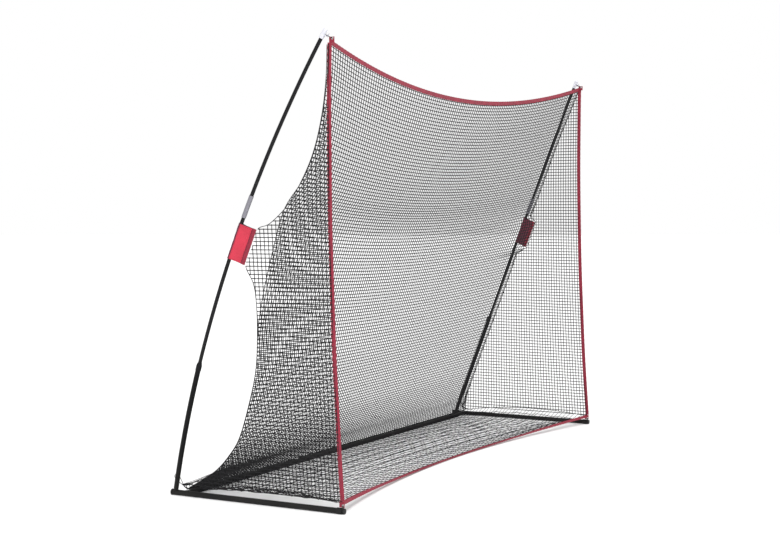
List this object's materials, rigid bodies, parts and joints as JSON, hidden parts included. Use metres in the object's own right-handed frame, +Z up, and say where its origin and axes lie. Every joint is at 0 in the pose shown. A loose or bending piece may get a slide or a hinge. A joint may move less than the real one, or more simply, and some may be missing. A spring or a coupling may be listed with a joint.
{
  "type": "golf hitting net",
  "caption": "Full-size golf practice net: a net bag bound in red webbing, stretched between two bowed corner poles on a U-shaped ground frame of plug-in steel tubes.",
  "frame": {"origin": "on the ground, at the centre of the footprint", "axes": "+X along the width, +Y from the open front to the rear crossbar, +Z up"},
  "size_m": [3.283, 0.95, 2.1569],
  "materials": {
    "powder_coat": "satin black powder coat on steel tube, a little orange peel",
    "cap_plastic": "moulded black plastic, fine texture",
    "spring_steel": "zinc plated spring steel",
    "glass_fibre": "black pultruded glass fibre with faint lengthwise fibres",
    "ferrule_metal": "satin drawn metal with fine rings",
    "pole_cap_plastic": "pale translucent moulded plastic",
    "netting": "black knotless square mesh of braided twine",
    "webbing": "red ribbed webbing folded and stitched over the net edge",
    "sleeve_fabric": "bright red coated woven fabric, stitched",
    "elastic_cord": "black braided elastic cord"
  },
  "bodies": {
    "frame": {"side_foot_left": "powder_coat", "side_foot_right": "powder_coat", "front_cap_left": "cap_plastic", "front_cap_right": "cap_plastic", "rear_cap_left": "cap_plastic", "rear_cap_right": "cap_plastic", "crossbar_left": "powder_coat", "crossbar_centre": "powder_coat", "crossbar_right": "powder_coat", "snap_spring_outer_left": "spring_steel", "snap_spring_inner_left": "spring_steel", "snap_spring_inner_right": "spring_steel", "snap_spring_outer_right": "spring_steel", "upright_tube_left": "powder_coat", "upright_tube_right": "powder_coat", "upright_collar_left": "cap_plastic", "upright_collar_right": "cap_plastic", "lower_pole_left": "glass_fibre", "lower_pole_right": "glass_fibre", "ferrule_left": "ferrule_metal", "ferrule_right": "ferrule_metal", "upper_pole_left": "glass_fibre", "upper_pole_right": "glass_fibre", "pole_cap_left": "pole_cap_plastic", "pole_cap_right": "pole_cap_plastic", "net_back": "netting", "net_floor": "netting", "net_side_left": "netting", "net_side_right": "netting", "crossbar_hem": "netting", "binding_top": "webbing", "binding_bottom": "webbing", "binding_left": "webbing", "binding_right": "webbing", "corner_tab_top_left": "webbing", "corner_tab_top_right": "webbing", "corner_tab_bottom_left": "webbing", "corner_tab_bottom_right": "webbing", "pole_sleeve_left": "sleeve_fabric", "pole_sleeve_right": "sleeve_fabric", "front_loop_left": "elastic_cord", "front_loop_right": "elastic_cord", "rear_loop_left": "elastic_cord", "rear_loop_right": "elastic_cord", "top_loop_left": "elastic_cord", "top_loop_right": "elastic_cord"},
    "button_outer_left": {"snap_button_outer_left": "spring_steel"},
    "button_outer_right": {"snap_button_outer_right": "spring_steel"},
    "button_inner_left": {"snap_button_inner_left": "spring_steel"},
    "button_inner_right": {"snap_button_inner_right": "spring_steel"},
    "flap_left": {"sleeve_flap_left": "sleeve_fabric"},
    "flap_right": {"sleeve_flap_right": "sleeve_fabric"}
  },
  "joints": [
    {"name": "press_button_outer_left", "type": "slide", "parent": "frame", "child": "button_outer_left", "axis": [0, 0, -1], "range_m": [0, 0.0042], "stiffness_N_per_m": 1500, "springref_m": -0.001, "deforming": ["snap_spring_outer_left"]},
    {"name": "press_button_outer_right", "type": "slide", "parent": "frame", "child": "button_outer_right", "axis": [0, 0, -1], "range_m": [0, 0.0042], "stiffness_N_per_m": 1500, "springref_m": -0.001, "deforming": ["snap_spring_outer_right"]},
    {"name": "press_button_inner_left", "type": "slide", "parent": "frame", "child": "button_inner_left", "axis": [0, 0, -1], "range_m": [0, 0.0042], "stiffness_N_per_m": 1500, "springref_m": -0.001, "deforming": ["snap_spring_inner_left"]},
    {"name": "press_button_inner_right", "type": "slide", "parent": "frame", "child": "button_inner_right", "axis": [0, 0, -1], "range_m": [0, 0.0042], "stiffness_N_per_m": 1500, "springref_m": -0.001, "deforming": ["snap_spring_inner_right"]},
    {"name": "open_flap_left", "type": "hinge", "parent": "frame", "child": "flap_left", "pos_m": [-1.63918, 0.03383, 1.21271], "axis": [-0.0191, 0.3717, -0.9282], "range_deg": [0, 150]},
    {"name": "open_flap_right", "type": "hinge", "parent": "frame", "child": "flap_right", "pos_m": [1.63918, 0.03383, 1.21271], "axis": [-0.0191, -0.3717, 0.9282], "range_deg": [0, 150]}
  ]
}
